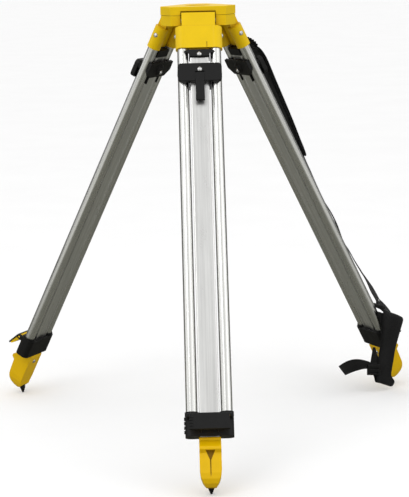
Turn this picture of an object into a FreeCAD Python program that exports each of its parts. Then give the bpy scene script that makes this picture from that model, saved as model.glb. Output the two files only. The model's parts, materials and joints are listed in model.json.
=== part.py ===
import FreeCAD, Part
import math
import os

# Builder's tripod with an aluminium leg set: a flat triangular head, three telescopic legs,
# a fixing screw on a swinging arm and a carrying strap. Millimetres, +Z up.
# The origin is the centre of the head's top face. The front leg points along -Y.

V = FreeCAD.Vector

# Stance
STAND_HEIGHT = 1000.0
TILT = 28.0
LEG_AZIMUTHS = {"front": 0.0, "right": 120.0, "left": 240.0}

# Head
LONG_SIDE = 128.0
SHORT_SIDE = 46.0
PLATE_T = 20.0
SEAM = 0.8
BASE_BOTTOM = -44.0
CENTRE_HOLE_R = 30.0
HINGE_R = 53.0
HINGE_Z = -32.0
HINGE_PIN_R = 5.0
HINGE_PIN_HALF = 60.0

# Leg reference point: where the leg's middle plane starts, beside the hinge
LEG_R = 65.2
LEG_Z = -30.0

# Leg section
TUBE_R = 12.5
TUBE_WALL = 1.5
TUBE_T = 37.5
RAIL_HALF_W = 21.7
RAIL_HALF_T = 11.0
RAIL_WALL = 1.6

# Stations along the leg, measured down from the leg reference point
SOCKET_TOP = 22.0
SKIRT_END = 76.0
TUBE_START = 28.0
TUBE_END = 960.0
PLUG_TOP = 81.0
RAIL_TOP = 99.0
RAIL_END = 1030.0
COLLAR_TOP = 118.0
COLLAR_END = 162.0
YOKE_TOP = 919.0
YOKE_END = 969.0
SHOE_TOP = 970.0
SHOE_END = 1076.0
SPIKE_OFFSET = -25.3

KNUCKLE_HALF = 38.5
SOCKET_R = 16.0
YOKE_HALF_W = 52.0
YOKE_HALF_T = 18.0
RUN = 0.05

# Clamp lever
LEVER_S = 927.0
LEVER_O = 24.0
LEVER_LENGTH = 40.0
LEVER_HALF_W = 43.0
LEVER_OPEN = 30.0
LEVER_PIN_R = 2.5

# Collar latch
LATCH_S = 142.0
LATCH_O = 21.2
LATCH_LENGTH = 67.0
LATCH_HALF_W = 10.0
LATCH_OPEN = 2.0

# Fixing screw, 5/8 inch thread
SCREW_R = 7.94
SCREW_TOP = -23.0
THREAD_END = -41.4
SHANK_R = 6.4
KNOB_TOP = -93.0
KNOB_END = -116.0
KNOB_R = 17.0
ARM_TOP = -45.0
ARM_T = 4.0
ARM_PIVOT_Y = 52.0
ARM_TRAVEL = 16.0

# Strap
WEB_W = 38.0
WEB_T = 2.4
PAD_W = 48.0
PAD_T = 7.0
PAD_SPAN = (122.0, 428.0)
STRAP_T = 36.0
TWIST = 25.6
TWIST_SPAN = (430.0, 560.0)
FOOT_TWIST = 14.0
FOOT_TWIST_SPAN = (806.0, 856.0)
TIE_T = -62.0
FOLD_END_T = 16.0
TIE_PIVOT_O = 20.5
TIE_PIVOT_S = 859.0
TIE_BAR_R = 2.5


# ---------------------------------------------------------------- leg frame
# A leg is built upright: X runs across it, Y points inward, Z points up.
# The helpers take s (distance down the leg), o (outward) and t (across).

def point(t, o, s):
    return V(t, -o, -s)


def across(side, near, far):
    # a span of t on one side of the leg's middle
    return (near, far) if side > 0 else (-far, -near)


def block(t, o, s):
    corner = V(t[0], -o[1], -s[1])
    return Part.makeBox(t[1] - t[0], o[1] - o[0], s[1] - s[0], corner)


def rod_along(radius, t, o, s):
    # a round bar along the leg
    return Part.makeCylinder(radius, s[1] - s[0], point(t, o, s[1]), V(0, 0, 1))


def rod_across(radius, t, o, s):
    # a round bar across the leg
    return Part.makeCylinder(radius, t[1] - t[0], point(t[0], o, s), V(1, 0, 0))


def rod_outward(radius, t, o, s):
    # a round bar through the leg's thickness
    return Part.makeCylinder(radius, o[1] - o[0], point(t, o[0], s), V(0, -1, 0))


def side_profile(points, t):
    # closed outline of (o, s) points, extruded across the leg
    wire = Part.makePolygon([point(t[0], o, s) for o, s in points + points[:1]])
    return Part.Face(wire).extrude(V(t[1] - t[0], 0, 0))


def front_profile(points, o):
    # closed outline of (t, s) points, extruded through the leg's thickness
    wire = Part.makePolygon([point(t, o[0], s) for t, s in points + points[:1]])
    return Part.Face(wire).extrude(V(0, o[0] - o[1], 0))


def end_profile(points, s):
    # closed outline of (t, o) points, extruded down the leg
    wire = Part.makePolygon([point(t, o, s[0]) for t, o in points + points[:1]])
    return Part.Face(wire).extrude(V(0, 0, s[0] - s[1]))


def long_edges(shape, direction, least=1.0):
    picked = []
    for edge in shape.Edges:
        if edge.Curve.TypeId != "Part::GeomLine" or edge.Length < least:
            continue
        if abs(edge.Curve.Direction.dot(direction)) > 0.999:
            picked.append(edge)
    return picked


def rounded(shape, radius, direction, least=1.0):
    return shape.makeFillet(radius, long_edges(shape, direction, least))


def pan_screw(head_r, head_h, shank_r, shank_l):
    # a domed screw along +Z, seat at the origin and shank below it
    dome_r = (head_r ** 2 + head_h ** 2) / (2 * head_h)
    dome = Part.makeSphere(dome_r, V(0, 0, head_h - dome_r))
    head = Part.makeCylinder(head_r, head_h).common(dome)
    slot = Part.makeBox(head_r, 1.2, 1.4, V(-head_r / 2, -0.6, head_h - 1.2))
    cross = slot.copy()
    cross.rotate(V(0, 0, 0), V(0, 0, 1), 90)
    shank = Part.makeCylinder(shank_r, shank_l + 0.5, V(0, 0, -shank_l))
    return head.fuse(shank).cut(slot).cut(cross).removeSplitter()


def aimed(shape, place, direction):
    turned = shape.copy()
    turned.Placement = FreeCAD.Placement(place, FreeCAD.Rotation(V(0, 0, 1), direction))
    return turned


def placed(shape, azimuth):
    moved = shape.copy()
    moved.rotate(V(0, 0, 0), V(1, 0, 0), -TILT)
    moved.translate(V(0, -LEG_R, LEG_Z))
    moved.rotate(V(0, 0, 0), V(0, 0, 1), azimuth)
    return moved


def hinge_in_leg():
    # the hinge axis seen from the leg reference point, as (o, s)
    tilt = math.radians(TILT)
    outward = HINGE_R - LEG_R
    up = HINGE_Z - LEG_Z
    o = outward * math.cos(tilt) + up * math.sin(tilt)
    s = outward * math.sin(tilt) - up * math.cos(tilt)
    return o, s


def foot_reach():
    # distance down the leg at which the spike's point meets the floor
    tilt = math.radians(TILT)
    drop = STAND_HEIGHT + LEG_Z + SPIKE_OFFSET * math.sin(tilt)
    return drop / math.cos(tilt)


# ---------------------------------------------------------------- head

def head_outline(inset=0.0):
    # a triangle with cut corners: long sides face the legs
    inner = (LONG_SIDE + 2 * SHORT_SIDE) / (2 * math.sqrt(3)) - inset
    half = LONG_SIDE / 2 - inset / math.sqrt(3)
    points = []
    for azimuth in (0.0, 120.0, 240.0):
        turn = FreeCAD.Rotation(V(0, 0, 1), azimuth)
        points.append(turn.multVec(V(-half, -inner, 0)))
        points.append(turn.multVec(V(half, -inner, 0)))
    return points


def head_prism(bottom, top, inset=0.0):
    points = [V(p.x, p.y, bottom) for p in head_outline(inset)]
    wire = Part.makePolygon(points + points[:1])
    return Part.Face(wire).extrude(V(0, 0, top - bottom))


def hinge_space(azimuth):
    # room for one leg's knuckle and its swing
    half = KNUCKLE_HALF + 2.0
    barrel = Part.makeCylinder(14.5, 2 * half, V(-half, -HINGE_R, HINGE_Z), V(1, 0, 0))
    front = Part.makeBox(2 * half, 40, 50, V(-half, -HINGE_R - 42, -60.5))
    lower = Part.makeBox(2 * half, 54.5, 30, V(-half, -HINGE_R - 40, HINGE_Z - 30))
    space = barrel.fuse([front, lower])
    space.rotate(V(0, 0, 0), V(0, 0, 1), azimuth)
    return space


def head_plate():
    plate = head_prism(-PLATE_T, 0.0)
    edges = [e for e in plate.Edges if abs(e.BoundBox.ZMin) < 1e-6]
    plate = plate.makeFillet(1.6, edges)
    plate = plate.cut(Part.makeCylinder(CENTRE_HOLE_R, 60, V(0, 0, -50)))
    for azimuth in LEG_AZIMUTHS.values():
        plate = plate.cut(hinge_space(azimuth))
        plate = plate.cut(screw_hole(azimuth, -8.0))
    return plate


def screw_hole(azimuth, top):
    hole = Part.makeCylinder(2.5 + RUN, top + 60, V(0, 72, -60))
    hole.rotate(V(0, 0, 0), V(0, 0, 1), azimuth)
    return hole


def head_base():
    base = head_prism(BASE_BOTTOM, -PLATE_T - SEAM)
    base = rounded(base, 3.0, V(0, 0, 1))
    neck = head_prism(-PLATE_T - SEAM, -PLATE_T, 2.0)
    base = base.fuse(neck).removeSplitter()
    base = base.cut(Part.makeCylinder(CENTRE_HOLE_R + 4, 60, V(0, 0, -60)))
    for azimuth in LEG_AZIMUTHS.values():
        base = base.cut(hinge_space(azimuth))
        base = base.cut(hinge_pin(azimuth, HINGE_PIN_R + 0.01))
        base = base.cut(screw_hole(azimuth, 0.0))
        recess = Part.makeCylinder(6.0, 10, V(0, 72, BASE_BOTTOM - 6))
        recess.rotate(V(0, 0, 0), V(0, 0, 1), azimuth)
        base = base.cut(recess)
    pivot = Part.makeCylinder(4.0 + RUN, 37, V(0, ARM_PIVOT_Y, -60))
    return base.cut(pivot)


def hinge_pin(azimuth, radius):
    start = V(-HINGE_PIN_HALF, -HINGE_R, HINGE_Z)
    pin = Part.makeCylinder(radius, 2 * HINGE_PIN_HALF, start, V(1, 0, 0))
    pin.rotate(V(0, 0, 0), V(0, 0, 1), azimuth)
    return pin


def hinge_pins():
    return Part.makeCompound([hinge_pin(a, HINGE_PIN_R) for a in LEG_AZIMUTHS.values()])


def head_screws():
    screws = []
    for azimuth in LEG_AZIMUTHS.values():
        screw = pan_screw(5.2, 3.2, 2.5, 28.0)
        screw = aimed(screw, V(0, 72, BASE_BOTTOM + 4), V(0, 0, -1))
        screw.rotate(V(0, 0, 0), V(0, 0, 1), azimuth)
        screws.append(screw)
    return Part.makeCompound(screws)


def screw_arm():
    # a slotted strip that swings under the head
    z = ARM_TOP - ARM_T
    strip = Part.makeBox(30, ARM_PIVOT_Y + 38, ARM_T, V(-15, -38, z))
    pivot_end = Part.makeCylinder(15, ARM_T, V(0, ARM_PIVOT_Y, z))
    arm = strip.fuse(pivot_end)
    slot = Part.makeBox(20.2, 2 * ARM_TRAVEL, ARM_T, V(-10.1, -ARM_TRAVEL, z))
    for y in (-ARM_TRAVEL, ARM_TRAVEL):
        slot = slot.fuse(Part.makeCylinder(10.1, ARM_T, V(0, y, z)))
    arm = arm.cut(slot).cut(Part.makeCylinder(4.0 + RUN, 20, V(0, ARM_PIVOT_Y, z - 5)))
    arm = arm.removeSplitter()
    front = [e for e in long_edges(arm, V(0, 0, 1)) if e.BoundBox.YMax < -37]
    return arm.makeFillet(9.0, front)


def arm_pivot():
    bolt = Part.makeCylinder(4.0, 26, V(0, ARM_PIVOT_Y, ARM_TOP - ARM_T - 0.4))
    head = Part.Face(Part.makePolygon(hexagon(7.5))).extrude(V(0, 0, 5.5))
    head.translate(V(0, ARM_PIVOT_Y, ARM_TOP - ARM_T - 5.9))
    return bolt.fuse(head).removeSplitter()


def hexagon(radius):
    points = [V(radius * math.cos(k * math.pi / 3), radius * math.sin(k * math.pi / 3), 0)
              for k in range(6)]
    return points + points[:1]


def screw_bush():
    # the flanged bush that slides in the arm's slot
    z = ARM_TOP - ARM_T
    neck = Part.makeCylinder(10.0, ARM_T + 0.6, V(0, 0, z - 0.3))
    below = Part.makeCylinder(14.0, 3.0, V(0, 0, z - 3.2))
    above = Part.makeCylinder(13.0, 2.0, V(0, 0, ARM_TOP + 0.2))
    bore = Part.makeCylinder(SHANK_R + RUN, 30, V(0, 0, z - 12))
    return neck.fuse([below, above]).cut(bore).removeSplitter()


def retaining_ring():
    # the plain washer that keeps the screw in its bush
    ring = Part.makeCylinder(12.0, 3.0, V(0, 0, KNOB_TOP + 0.3))
    return ring.cut(Part.makeCylinder(SHANK_R + RUN, 10, V(0, 0, KNOB_TOP - 2)))


def fixing_screw():
    # a threaded end on a thinner shank, so that the bush keeps it captive
    thread = Part.makeCylinder(SCREW_R, SCREW_TOP - THREAD_END, V(0, 0, THREAD_END))
    top = [e for e in thread.Edges if e.BoundBox.ZMin > SCREW_TOP - 0.01]
    thread = thread.makeChamfer(1.4, top)
    length = THREAD_END - KNOB_TOP + 16
    shank = Part.makeCylinder(SHANK_R, length + 2, V(0, 0, KNOB_TOP - 16))
    return thread.fuse(shank).removeSplitter()


def fixing_knob():
    height = KNOB_TOP - KNOB_END
    knob = Part.makeCylinder(KNOB_R, height, V(0, 0, KNOB_END))
    rims = [e for e in knob.Edges if e.Curve.TypeId == "Part::GeomCircle"]
    knob = knob.makeFillet(2.5, rims)
    for k in range(12):
        groove = Part.makeCylinder(2.2, height + 2, V(KNOB_R + 1.0, 0, KNOB_END - 1))
        groove.rotate(V(0, 0, 0), V(0, 0, 1), 30 * k)
        knob = knob.cut(groove)
    return knob.cut(Part.makeCylinder(SHANK_R + 0.01, 20, V(0, 0, KNOB_TOP - 16)))


# ---------------------------------------------------------------- outer leg

def tube_pair(radius, s):
    pair = [rod_along(radius, side * TUBE_T, 0, s) for side in (-1, 1)]
    return pair[0].fuse(pair[1])


def bracket_screw_places():
    return [(side, point(side * (TUBE_T + SOCKET_R - 0.4), 0, 42)) for side in (-1, 1)]


def hinge_bracket():
    o, s = hinge_in_leg()
    barrel = rod_across(13.0, (-KNUCKLE_HALF, KNUCKLE_HALF), o, s)
    face = block((-KNUCKLE_HALF, KNUCKLE_HALF), (1, 13), (-13, SOCKET_TOP + 6))
    brow = [e for e in long_edges(face, V(1, 0, 0)) if e.CenterOfMass.z > 0]
    face = face.makeFillet(2.5, [e for e in brow if e.CenterOfMass.y < -12])
    floor = block((-KNUCKLE_HALF, KNUCKLE_HALF), (o, 2), (s - 4, s + 13))
    ribs = []
    for t in (-KNUCKLE_HALF + 3, KNUCKLE_HALF - 3):
        ribs.append(block((t - 3, t + 3), (-10, 6), (0, SKIRT_END - 6)))
    sockets = tube_pair(SOCKET_R, (SOCKET_TOP, SKIRT_END))
    web = block((-TUBE_T, TUBE_T), (6, 15), (SOCKET_TOP, SKIRT_END))
    lip = block((-23, 23), (2, 8.5), (SOCKET_TOP, SKIRT_END + 3.5))
    body = barrel.fuse([face, floor, sockets, web, lip] + ribs)
    body = body.cut(rod_across(HINGE_PIN_R + RUN, (-90, 90), o, s))
    body = body.cut(tube_pair(TUBE_R + 0.02, (TUBE_START - 1, 200)))
    for side, place in bracket_screw_places():
        body = body.cut(aimed(Part.makeCylinder(2.55, 8, V(0, 0, -7)), place, V(side, 0, 0)))
        seat = Part.makeCylinder(6.2, 4, V(0, 0, 0))
        body = body.cut(aimed(seat, place, V(side, 0, 0)))
    body = body.cut(block((17, 19), (13.8, 16), (62, SKIRT_END)))
    return body.removeSplitter()


def bracket_screws():
    return Part.makeCompound([aimed(pan_screw(5.6, 3.4, 2.5, 6.0), place, V(side, 0, 0))
                              for side, place in bracket_screw_places()])


def outer_tubes():
    tubes = []
    for side in (-1, 1):
        tube = rod_along(TUBE_R, side * TUBE_T, 0, (TUBE_START, TUBE_END))
        tube = tube.cut(rod_along(TUBE_R - TUBE_WALL, side * TUBE_T, 0, (0, TUBE_END + 5)))
        place = point(side * (TUBE_T + SOCKET_R - 0.4), 0, 42)
        hole = aimed(Part.makeCylinder(2.55, 8, V(0, 0, -8)), place, V(side, 0, 0))
        tubes.append(tube.cut(hole))
    return Part.makeCompound(tubes)


def clamp_yoke():
    w, thick = YOKE_HALF_W, YOKE_HALF_T
    yoke = block((-w, w), (-thick, thick), (YOKE_TOP, YOKE_END))
    yoke = rounded(yoke, 13.0, V(0, 0, 1))
    sleeves = tube_pair(15.0, (YOKE_TOP - 4, YOKE_TOP + 5))
    yoke = yoke.fuse(sleeves)
    ears = []
    for side in (-1, 1):
        t = across(side, LEVER_HALF_W + 0.6, LEVER_HALF_W + 5.6)
        ears.append(block(t, (2, LEVER_O), (LEVER_S - 6, LEVER_S + 6)))
        ears.append(rod_across(6.0, t, LEVER_O, LEVER_S))
    for k in range(4):
        s = YOKE_TOP + 8 + 9.5 * k
        ears.append(block((-w - 2.2, -w + 4), (-7, 9), (s, s + 4.5)))
    yoke = yoke.fuse(ears)
    yoke = yoke.cut(tube_pair(TUBE_R + 0.02, (YOKE_TOP - 20, TUBE_END)))
    half_w = RAIL_HALF_W + 0.4
    half_t = RAIL_HALF_T + 0.4
    rail_way = block((-half_w, half_w), (-half_t, half_t), (YOKE_TOP - 20, YOKE_END + 20))
    yoke = yoke.cut(rail_way)
    yoke = yoke.cut(block((-18.3, 18.3), (0, 30), (LEVER_S + 5.7, YOKE_END - 7.7)))
    yoke = yoke.cut(rod_across(LEVER_PIN_R + RUN, (-80, 80), LEVER_O, LEVER_S))
    return yoke.removeSplitter()


def clamp_shoe():
    shoe = block((-18, 18), (RAIL_HALF_T + 0.2, 17.6), (LEVER_S + 6, YOKE_END - 8))
    return rounded(shoe, 1.5, V(0, 1, 0))


def moved(outline, o, s):
    # an outline of (o, s) points carried to a pivot
    return [(o + du, s + ds) for du, ds in outline]


def swung(shape, o, s, degrees):
    # turn a lever outward about an axis across the leg
    turned = shape.copy()
    turned.rotate(point(0, o, s), V(1, 0, 0), -degrees)
    return turned


def clamp_cam():
    # the lever's coloured body with its moulded trunnions
    half = LEVER_HALF_W - 2.0
    root = rod_across(5.3, (-half, half), LEVER_O, LEVER_S)
    outline = [(-4.5, 0), (-5.0, 22), (-1.5, 37), (2.8, 37), (4.5, 8), (4.5, 0)]
    body = side_profile(moved(outline, LEVER_O, LEVER_S), (-half, half))
    pin = rod_across(LEVER_PIN_R, (-LEVER_HALF_W - 5, LEVER_HALF_W + 5), LEVER_O, LEVER_S)
    cam = root.fuse([body, pin]).removeSplitter()
    return swung(cam, LEVER_O, LEVER_S, LEVER_OPEN)


def clamp_lever():
    # the black outer shell that covers the lever's body
    outline = [(5.5, 1), (4.6, 6.5), (4.6, 8), (2.9, 37.2), (1.5, LEVER_LENGTH), (5.5, LEVER_LENGTH),
               (8, 8), (8, 1)]
    shell = side_profile(moved(outline, LEVER_O, LEVER_S), (-LEVER_HALF_W, LEVER_HALF_W))
    ribs = []
    for k in range(4):
        s = LEVER_S + 8 + 7.5 * k
        o = (LEVER_O + 5, LEVER_O + 9.2 - 0.5 * k)
        ribs.append(block((-LEVER_HALF_W, -LEVER_HALF_W + 8), o, (s, s + 3)))
    shell = shell.fuse(ribs).removeSplitter()
    return swung(shell, LEVER_O, LEVER_S, LEVER_OPEN)


# ---------------------------------------------------------------- inner leg

def inner_rail():
    w, t = RAIL_HALF_W, RAIL_HALF_T
    rail = rounded(block((-w, w), (-t, t), (RAIL_TOP, RAIL_END)), 3.0, V(0, 0, 1))
    core_w = w - RAIL_WALL
    core_t = t - RAIL_WALL - 1.2
    core = block((-core_w, core_w), (-core_t, core_t), (RAIL_TOP - 1, RAIL_END + 1))
    rail = rail.cut(core)
    for o in ((t - 1.2, t + 1), (-t - 1, -t + 1.2)):
        rail = rail.cut(block((-13, 13), o, (RAIL_TOP - 1, RAIL_END + 1)))
    for o in ((0, t + 1), (-t - 1, 0)):
        rail = rail.cut(rod_outward(2.55, 0, o, 133))
    return rail.cut(rod_outward(2.55, 0, (-t - 1, 0), 990))


def top_plug():
    body = block((-23.5, 23.5), (-RAIL_HALF_T, RAIL_HALF_T), (PLUG_TOP, RAIL_TOP))
    tenon = block((-17.8, 17.8), (-7.9, 7.9), (RAIL_TOP - 1, RAIL_TOP + 16))
    cover = block((-23.5, 23.5), (RAIL_HALF_T - 1, 16), (PLUG_TOP, RAIL_TOP - 2))
    ears = [(-35, 84), (-23, 81.5), (23, 81.5), (35, 84), (23, 91), (-23, 91)]
    wings = front_profile(ears, (13.2, 16))
    plug = body.fuse([tenon, cover, wings])
    plug = plug.cut(rod_outward(2.55, 0, (0, 20), 92))
    return plug.removeSplitter()


def guide_collar():
    plate = block((-50, 50), (14.2, 25), (COLLAR_TOP, COLLAR_END))
    plate = rounded(plate, 9.0, V(0, 1, 0))
    rim = [e for e in plate.Edges if e.BoundBox.YMax < -24.99]
    plate = plate.makeFillet(2.0, rim)
    spacer = block((-21.5, 21.5), (RAIL_HALF_T, 15), (COLLAR_TOP, COLLAR_END))
    webs = []
    for side in (-1, 1):
        web = across(side, 22.0, 24.7)
        webs.append(block(web, (-13.4, 15), (COLLAR_TOP, COLLAR_END + 7)))
        pad = block(across(side, 32, 48), (6, 15), (COLLAR_TOP + 4, COLLAR_TOP + 16))
        webs.append(pad.cut(tube_pair(TUBE_R + 0.3, (0, 300))))
    collar = plate.fuse([spacer] + webs)
    collar = collar.cut(rod_outward(2.55, 0, (0, 40), 133))
    half = LATCH_HALF_W + 0.5
    collar = collar.cut(block((-half, half), (16.5, 30), (LATCH_S - 4.2, COLLAR_END + 1)))
    collar = collar.cut(rod_across(1.6 + RUN, (-half - 4, half + 4), LATCH_O, LATCH_S))
    return collar.removeSplitter()


def latch():
    # the finger tongue that swings in the collar's recess
    root = rod_across(3.6, (-LATCH_HALF_W, LATCH_HALF_W), LATCH_O, LATCH_S)
    end = LATCH_LENGTH
    outline = [(-3.2, 0), (-3.2, end - 3), (-1.0, end), (3.8, end - 1), (3.8, 0)]
    body = side_profile(moved(outline, LATCH_O, LATCH_S), (-LATCH_HALF_W, LATCH_HALF_W))
    pin = rod_across(1.6, (-LATCH_HALF_W - 3.8, LATCH_HALF_W + 3.8), LATCH_O, LATCH_S)
    tongue = root.fuse([body, pin]).removeSplitter()
    return swung(tongue, LATCH_O, LATCH_S, LATCH_OPEN)


def collar_backplate():
    outline = [(-50, 109), (50, 109), (51, 132), (33, 148), (-33, 148), (-51, 132)]
    plate = front_profile(outline, (-19.5, -13.5))
    plate = rounded(plate, 3.0, V(0, 1, 0))
    boss = Part.makeCone(16, 10, 6, point(0, -19, 130), V(0, 1, 0))
    spacer = block((-21.5, 21.5), (-14, -RAIL_HALF_T), (118, 146))
    plate = plate.fuse([boss, spacer])
    return plate.cut(rod_outward(2.55, 0, (-40, 0), 133)).removeSplitter()


def leg_screws():
    # plug screw, collar screw, back plate screw and foot screw
    outward = V(0, -1, 0)
    inward = V(0, 1, 0)
    places = [(point(0, 16, 92), outward, 12), (point(0, 25, 133), outward, 16),
              (point(0, -25, 133), inward, 16), (point(0, -19, 990), inward, 12)]
    return Part.makeCompound([aimed(pan_screw(5.4, 3.0, 2.5, depth), place, way)
                              for place, way, depth in places])


def foot_shoe():
    side = [(-19, 0), (-19, 84), (-20.5, 93), (-17, 101), (-9, 106), (2, 105), (12, 99), (19, 90),
            (22.5, 78), (24, 56), (25, 36), (33.5, 30), (33.5, 24), (14, 8), (13, 0)]
    body = side_profile(moved(side, 0, SHOE_TOP), (-24, 24))
    body = rounded(body, 3.0, V(1, 0, 0), 30.0)
    half = [(23.3, 0), (23.3, 70), (21.5, 84), (17, 96), (10.5, 105.8)]
    front = [(-t, s) for t, s in half] + half[::-1]
    body = body.common(front_profile(moved(front, 0, SHOE_TOP), (-40, 50)))
    fit_w = RAIL_HALF_W + 0.05
    fit_t = RAIL_HALF_T + 0.05
    socket = block((-fit_w, fit_w), (-fit_t, fit_t), (SHOE_TOP - 5, RAIL_END + 1))
    pocket = [(-10, 31), (10, 31), (0, 54)]
    hollow = front_profile(moved(pocket, 0, SHOE_TOP), (14, 40))
    line = [(-1.2, 50), (1.2, 50), (1.0, 96), (-1.0, 96)]
    groove = front_profile(moved(line, 0, SHOE_TOP), (20, 40))
    body = body.cut(socket).cut(hollow).cut(groove)
    body = body.cut(rod_outward(2.55, 0, (-30, 0), 990))
    base, way = spike_line()
    body = body.cut(aimed(Part.makeCylinder(7.01, 60, V(0, 0, -14)), base, way))
    return body.removeSplitter()


def spike_line():
    tip = point(0, SPIKE_OFFSET, foot_reach())
    base = point(0, -11.5, SHOE_END - 13.0)
    return base, (tip - base).normalize()


def foot_spike():
    tip = point(0, SPIKE_OFFSET, foot_reach())
    base, way = spike_line()
    length = (tip - base).Length
    shank = Part.makeCylinder(7.0, length - 13 + 14, V(0, 0, -14))
    point_cone = Part.makeCone(7.0, 2.2, 13, V(0, 0, length - 13))
    return aimed(shank.fuse(point_cone).removeSplitter(), base, way)


# ---------------------------------------------------------------- strap, on the right leg

def strap_line():
    # evenly spread (point, outward normal) pairs down the strap's middle
    curve = Part.BSplineCurve()
    curve.interpolate([point(STRAP_T, o, s) for o, s in STRAP_PATH])
    first, last = curve.FirstParameter, curve.LastParameter
    count = 2 * (len(STRAP_PATH) - 1)
    line = []
    for k in range(count + 1):
        u = first + (last - first) * k / count
        along = curve.tangent(u)[0]
        line.append((curve.value(u), V(0, along.z, -along.y).normalize()))
    return line


def strap_across(s):
    # the webbing lies flat to the leg at the pad and turns in two steps lower down
    def share(span):
        return min(max((s - span[0]) / (span[1] - span[0]), 0.0), 1.0)
    angle = math.radians(TWIST * share(TWIST_SPAN) + FOOT_TWIST * share(FOOT_TWIST_SPAN))
    return V(math.cos(angle), -math.sin(angle), 0)


def strap_section(middle, normal, width, lift, thickness):
    # four corners round the strap's line, lifted outward off it
    side = strap_across(-middle.z) * (width / 2)
    low = middle + normal * (lift - thickness / 2)
    high = middle + normal * (lift + thickness / 2)
    return [low - side, low + side, high + side, high - side]


def facets(a, b, c, d):
    # one flat face, or two triangles where the corners are not in one plane
    normal = (b - a).cross(c - a).normalize()
    if abs(normal.dot(d - a)) < 1e-6:
        return [Part.Face(Part.makePolygon([a, b, c, d, a]))]
    return [Part.Face(Part.makePolygon([a, b, c, a])), Part.Face(Part.makePolygon([a, c, d, a]))]


def skinned(sections):
    # a closed solid through four-cornered sections
    faces = [Part.Face(Part.makePolygon(s + s[:1])) for s in (sections[0], sections[-1])]
    for one, two in zip(sections, sections[1:]):
        for k in range(4):
            j = (k + 1) % 4
            faces += facets(one[k], one[j], two[j], two[k])
    shell = Part.makeShell(faces)
    shell.sewShape()
    solid = Part.makeSolid(shell)
    if solid.Volume < 0:
        solid.reverse()
    return solid


STRAP_PATH = [(30, 84), (46, 104), (59, 140), (56, 222), (51, 322), (46, 390), (45, 440), (47, 500),
              (50, 567), (54, 601), (54, 640), (49, 689), (53, 723), (56, 766), (61, 810), (64, 850),
              (67, 891), (67.6, 901)]


def hanging_sheet(points, t):
    # a flat piece hanging in the leg's radial plane, outlined by (radius, height) points
    wire = Part.makePolygon([V(t[0], -radius, height) for radius, height in points + points[:1]])
    return Part.Face(wire).extrude(V(t[1] - t[0], 0, 0))


def strap_webbing():
    # the long run down the leg, and its folded end riveted to the hinge bracket
    run = skinned([strap_section(p, n, WEB_W, 0.0, WEB_T) for p, n in strap_line()])
    folded = [(16.4, 50), (22, 46), (34, 72), (40, 81), (47.7, 88.5), (54, 100), (56.6, 114.8),
              (51, 119.3), (43, 114), (36, 96), (26, 80), (16.4, 66)]
    return run.fuse(side_profile(folded, (6, 50))).removeSplitter()


def tie_pivot():
    # the keeper's bar seen in the radial plane, as (radius, height)
    tilt = math.radians(TILT)
    radius = LEG_R + TIE_PIVOT_O * math.cos(tilt) + TIE_PIVOT_S * math.sin(tilt)
    height = LEG_Z + TIE_PIVOT_O * math.sin(tilt) - TIE_PIVOT_S * math.cos(tilt)
    return radius, height


def tie_webbing():
    # the tie end: looped round the keeper's bar, folded over and hanging beside the clamp
    near = (TIE_T - WEB_T / 2, TIE_T + WEB_T / 2)
    fold = [(487, -779), (552, -813.5), (551, -816), (485, -781.5)]
    band = [(488, -783), (552, -814), (545, -836), (536, -856), (527, -883), (520, -911),
            (513, -942), (511, -964), (522, -978), (520, -986), (512, -991), (463, -971),
            (467, -950), (466, -929), (471, -906), (480, -881), (487, -838), (483, -811)]
    second = [(457, -881), (462, -882), (475, -912), (474, -925), (446, -921)]
    tail = [(446, -918), (417, -904), (383, -901), (345, -910), (367, -937), (432, -930),
            (472, -940), (474, -915)]
    radius, height = tie_pivot()
    length = FOLD_END_T - near[0]
    start = V(near[0], -radius, height)
    loop = Part.makeCylinder(TIE_BAR_R + 2.3, length, start, V(1, 0, 0))
    tie = hanging_sheet(fold, (near[0], FOLD_END_T))
    tie = tie.fuse([loop] + [hanging_sheet(shape, near) for shape in (band, second, tail)])
    bore = Part.makeCylinder(TIE_BAR_R + RUN, length, start, V(1, 0, 0))
    return tie.cut(bore).removeSplitter()


def strap_buckle():
    # a ladder buckle on the tie end's outer face
    face = TIE_T - WEB_T / 2 - 0.2
    frame = hanging_sheet([(434, -919), (473, -925), (473, -953), (434, -947)], (face - 5, face))
    frame = frame.makeFillet(2.0, [e for e in frame.Edges if e.BoundBox.XMax < face - 4.9])
    for high in (-928.0, -939.0):
        slot = [(441, high), (467, high - 4), (467, high - 9), (441, high - 5)]
        frame = frame.cut(hanging_sheet(slot, (face - 6, face - 1.5)))
    return frame


def strap_keeper():
    # the saddle on the outer tube: its foot holds the run's end, its bar the tie end
    clip = rod_along(TUBE_R + 3, TUBE_T, 0, (852, 868))
    clip = clip.common(block((20, 60), (-1.5, 20), (851, 869)))
    arm = side_profile([(2, 852), (2, 864), (53, 897), (53, 889)], (22.5, 29.5))
    foot = end_profile([(22, 49.6), (50, 72.8), (50, 76.7), (22, 53.5)], (889, 899))
    boss = block((30, 45), (8, TIE_PIVOT_O), (TIE_PIVOT_S - 4, TIE_PIVOT_S + 4))
    end = TIE_T - WEB_T / 2 - 0.4
    bar = rod_across(TIE_BAR_R, (end - 2, 45), TIE_PIVOT_O, TIE_PIVOT_S)
    flange = rod_across(TIE_BAR_R + 1.6, (end - 2, end), TIE_PIVOT_O, TIE_PIVOT_S)
    keeper = clip.fuse([arm, foot, boss, bar, flange])
    return keeper.cut(rod_along(TUBE_R + 0.02, TUBE_T, 0, (800, 950))).removeSplitter()


def shoulder_pad():
    # lies along the webbing's outer side
    lift = (PAD_T + WEB_T) / 2 + 0.5
    held = [(p, n) for p, n in strap_line() if PAD_SPAN[0] < -p.z < PAD_SPAN[1]]
    return skinned([strap_section(p, n, PAD_W, lift, PAD_T) for p, n in held])


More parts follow.
